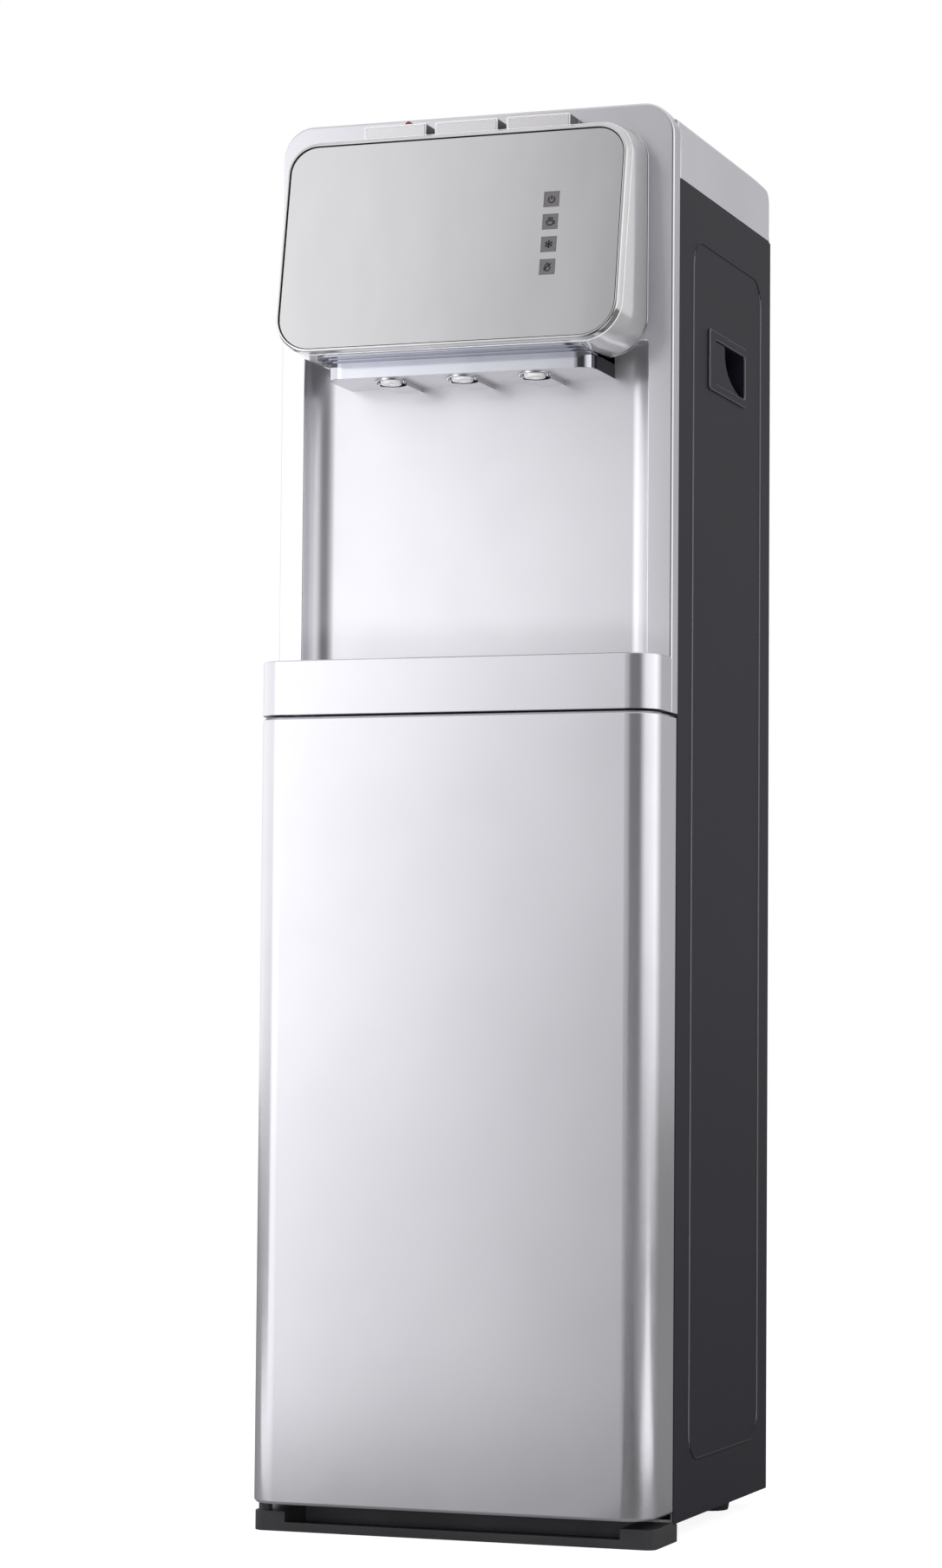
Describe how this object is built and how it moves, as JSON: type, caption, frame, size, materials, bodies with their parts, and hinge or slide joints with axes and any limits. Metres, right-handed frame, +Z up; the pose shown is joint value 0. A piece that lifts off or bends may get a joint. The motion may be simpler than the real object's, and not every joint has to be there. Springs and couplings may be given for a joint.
{
  "type": "bottom load water cooler",
  "caption": "Floor-standing bottom load water dispenser: tall cabinet, hinged door over the bottle bay, drip tray, taps, push buttons and a sloping control head.",
  "frame": {"origin": "on the floor, under the centre of the whole machine's bounding box", "axes": "+Z is up, the front with the taps and the door faces -Y, +X is to the right of someone facing the front"},
  "size_m": [0.31, 0.3708, 1.054],
  "materials": {
    "charcoal_paint": "satin",
    "silver_plastic": "satin",
    "cover_plastic": "satin",
    "black_plastic": "gloss",
    "matte_black": "matte",
    "chrome_plastic": "mirror",
    "white_plastic": "satin",
    "mirror_panel": "mirror",
    "lens_grey": "gloss",
    "lock_red": "gloss",
    "zinc_sheet": "satin",
    "chrome_ring": "polished",
    "black_tube": "satin",
    "can_black": "satin",
    "copper": "satin",
    "rubber_black": "matte",
    "clear_hose": "satin",
    "tank_core": "satin",
    "foam_white": "matte",
    "board_green": "satin"
  },
  "bodies": {
    "cabinet": {"base_pan": "zinc_sheet", "front_skirt": "matte_black", "rear_feet": "matte_black", "left_side_panel": "charcoal_paint", "right_side_panel": "charcoal_paint", "left_handle_cup": "black_plastic", "right_handle_cup": "black_plastic", "top_cover": "cover_plastic", "front_fascia": "silver_plastic", "recess_liner": "silver_plastic", "tray_band": "silver_plastic", "bay_deck": "zinc_sheet", "tank_shelf": "zinc_sheet", "rear_panel_lower": "charcoal_paint", "rear_panel_upper": "charcoal_paint", "head_housing": "silver_plastic", "head_bezel": "chrome_plastic", "head_panel": "mirror_panel", "indicator_lenses": "lens_grey", "control_board": "board_green", "tap_housing": "chrome_plastic", "tap_nozzles": "white_plastic", "nozzle_collars": "chrome_ring", "tap_blocks": "chrome_plastic", "tap_valves": "white_plastic", "hot_tank": "tank_core", "cold_tank": "tank_core", "cold_tank_foam": "foam_white", "compressor": "can_black", "compressor_grommets": "rubber_black", "condenser_tube": "black_tube", "condenser_wires": "black_tube", "condenser_brackets": "black_tube", "filter_dryer": "copper", "refrigerant_lines": "copper", "water_pump": "white_plastic", "water_hoses": "clear_hose", "door_hinge_pins": "zinc_sheet", "probe_holder": "white_plastic", "switch_plate": "black_plastic", "drain_spigot": "white_plastic", "hot_button_spring": "zinc_sheet", "room_button_spring": "zinc_sheet", "cold_button_spring": "zinc_sheet", "probe_hose": "clear_hose"},
    "door": {"door_shell": "silver_plastic", "door_liner": "white_plastic", "door_hinge_bushes": "white_plastic", "door_magnet": "rubber_black"},
    "drip_tray": {"drip_tray": "silver_plastic"},
    "drip_grille": {"drip_grille": "silver_plastic"},
    "hot_button": {"hot_button": "white_plastic"},
    "room_button": {"room_button": "white_plastic"},
    "cold_button": {"cold_button": "white_plastic"},
    "child_lock": {"child_lock": "lock_red"},
    "bottle_probe": {"bottle_probe": "white_plastic"},
    "heating_switch": {"heating_switch": "lock_red"},
    "cooling_switch": {"cooling_switch": "white_plastic"},
    "drain_cap": {"drain_cap": "white_plastic"}
  },
  "joints": [
    {"name": "door_hinge", "type": "hinge", "parent": "cabinet", "child": "door", "pos_m": [-0.1475, -0.13735, 0.31075], "axis": [0, 0, -1], "range_deg": [0, 110]},
    {"name": "tray_lift", "type": "slide", "parent": "cabinet", "child": "drip_tray", "axis": [0, 0, 1], "range_m": [0, 0.06]},
    {"name": "grille_lift", "type": "slide", "parent": "drip_tray", "child": "drip_grille", "axis": [0, 0, 1], "range_m": [0, 0.05]},
    {"name": "hot_press", "type": "slide", "parent": "cabinet", "child": "hot_button", "axis": [0, 0, -1], "range_m": [0, 0.0045], "stiffness_N_per_m": 300, "springref_m": -0.002, "deforming": ["hot_button_spring"]},
    {"name": "room_press", "type": "slide", "parent": "cabinet", "child": "room_button", "axis": [0, 0, -1], "range_m": [0, 0.0045], "stiffness_N_per_m": 300, "springref_m": -0.002, "deforming": ["room_button_spring"]},
    {"name": "cold_press", "type": "slide", "parent": "cabinet", "child": "cold_button", "axis": [0, 0, -1], "range_m": [0, 0.0045], "stiffness_N_per_m": 300, "springref_m": -0.002, "deforming": ["cold_button_spring"]},
    {"name": "child_lock_slide", "type": "slide", "parent": "hot_button", "child": "child_lock", "axis": [0, 1, 0], "range_m": [0, 0.003]},
    {"name": "probe_lift", "type": "slide", "parent": "cabinet", "child": "bottle_probe", "axis": [0, 0, 1], "range_m": [0, 0.02], "deforming": ["probe_hose"]},
    {"name": "heating_rock", "type": "hinge", "parent": "cabinet", "child": "heating_switch", "pos_m": [-0.122, 0.1597, 0.668], "axis": [-1, 0, 0], "range_deg": [0, 20]},
    {"name": "cooling_rock", "type": "hinge", "parent": "cabinet", "child": "cooling_switch", "pos_m": [-0.094, 0.1597, 0.668], "axis": [-1, 0, 0], "range_deg": [0, 20]},
    {"name": "drain_cap_pull", "type": "slide", "parent": "cabinet", "child": "drain_cap", "axis": [0, 1, 0], "range_m": [0, 0.015]}
  ]
}
